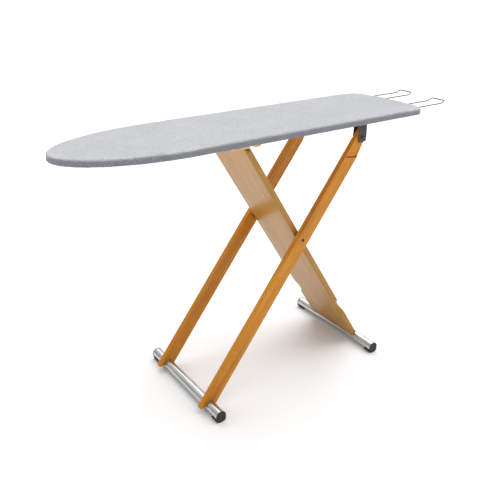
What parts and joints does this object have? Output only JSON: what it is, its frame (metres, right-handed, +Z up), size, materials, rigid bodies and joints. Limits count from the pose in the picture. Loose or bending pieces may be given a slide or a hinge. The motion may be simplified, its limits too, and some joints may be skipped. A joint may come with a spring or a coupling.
{
  "type": "ironing board",
  "caption": "Folding ironing board: padded fabric-covered board on scissor legs of varnished wood, with aluminium foot tubes and pull-out wire iron rests.",
  "frame": {"origin": "on the floor, below the middle of the length between the nose and the drawn-out left iron rest, on the plane of symmetry", "axes": "+X along the board towards its square end and the iron rests, +Y towards the left side seen from the nose, +Z up"},
  "size_m": [1.479, 0.443, 0.9],
  "materials": {
    "cotton_cover": "light grey cotton, matt, fine plain weave",
    "felt_padding": "off-white needled felt",
    "plywood_deck": "raw plywood, smooth sanded",
    "pale_beech": "plain sanded beech",
    "varnished_beech": "honey-orange gloss varnish over beech",
    "varnished_ply": "gloss varnish over beech plywood",
    "satin_aluminium": "satin drawn tube",
    "black_rubber": "matt moulded rubber",
    "olive_steel": "dark olive-grey lacquered steel sheet",
    "zinc_steel": "zinc plated steel",
    "black_steel": "blackened steel",
    "brown_fibre": "red-brown vulcanised fibre",
    "spring_steel": "dull drawn spring wire"
  },
  "bodies": {
    "board": {"board_cover": "cotton_cover", "felt_pad": "felt_padding", "deck_board": "plywood_deck", "rack_rail_left": "pale_beech", "rack_screw_left_1": "zinc_steel", "bracket_screw_left_1": "zinc_steel", "rack_screw_left_2": "zinc_steel", "bracket_screw_left_2": "zinc_steel", "hinge_bracket_left": "olive_steel", "hinge_bolt_left": "black_steel", "hinge_nut_left": "black_steel", "rack_rail_right": "pale_beech", "rack_screw_right_1": "zinc_steel", "bracket_screw_right_1": "zinc_steel", "rack_screw_right_2": "zinc_steel", "bracket_screw_right_2": "zinc_steel", "hinge_bracket_right": "olive_steel", "hinge_bolt_right": "black_steel", "hinge_nut_right": "black_steel"},
    "legs": {"side_bar_left": "varnished_beech", "crossing_spacer_left": "brown_fibre", "foot_cap_front_left": "black_rubber", "side_bar_right": "varnished_beech", "crossing_spacer_right": "brown_fibre", "foot_cap_front_right": "black_rubber", "foot_tube_front": "satin_aluminium", "foot_screw_front_1": "zinc_steel", "foot_screw_front_2": "zinc_steel"},
    "panel": {"crossing_bolt_left": "olive_steel", "catch_pin_left": "brown_fibre", "foot_cap_rear_left": "black_rubber", "crossing_bolt_right": "olive_steel", "catch_pin_right": "brown_fibre", "foot_cap_rear_right": "black_rubber", "foot_tube_rear": "satin_aluminium", "foot_screw_rear_1": "zinc_steel", "foot_screw_rear_2": "zinc_steel", "foot_screw_rear_3": "zinc_steel", "centre_panel": "varnished_ply"},
    "iron_rest_left": {"iron_rest_left": "spring_steel"},
    "iron_rest_right": {"iron_rest_right": "spring_steel"}
  },
  "joints": [
    {"name": "legs_fold", "type": "hinge", "parent": "board", "child": "legs", "pos_m": [0.26641, 0, 0.83115], "axis": [0, 1, 0], "range_deg": [0, 52.2]},
    {"name": "panel_fold", "type": "hinge", "parent": "legs", "child": "panel", "pos_m": [0.02453, 0, 0.51443], "axis": [0, 1, 0], "range_deg": [-110.81, 0]},
    {"name": "iron_rest_left_slide", "type": "slide", "parent": "board", "child": "iron_rest_left", "axis": [1, 0, 0], "range_m": [-0.153, 0]},
    {"name": "iron_rest_right_slide", "type": "slide", "parent": "board", "child": "iron_rest_right", "axis": [1, 0, 0], "range_m": [-0.13, 0.023]}
  ],
  "couplings": [
    {"joint": "panel_fold", "follows": "legs_fold", "ratio": -2.1226}
  ]
}
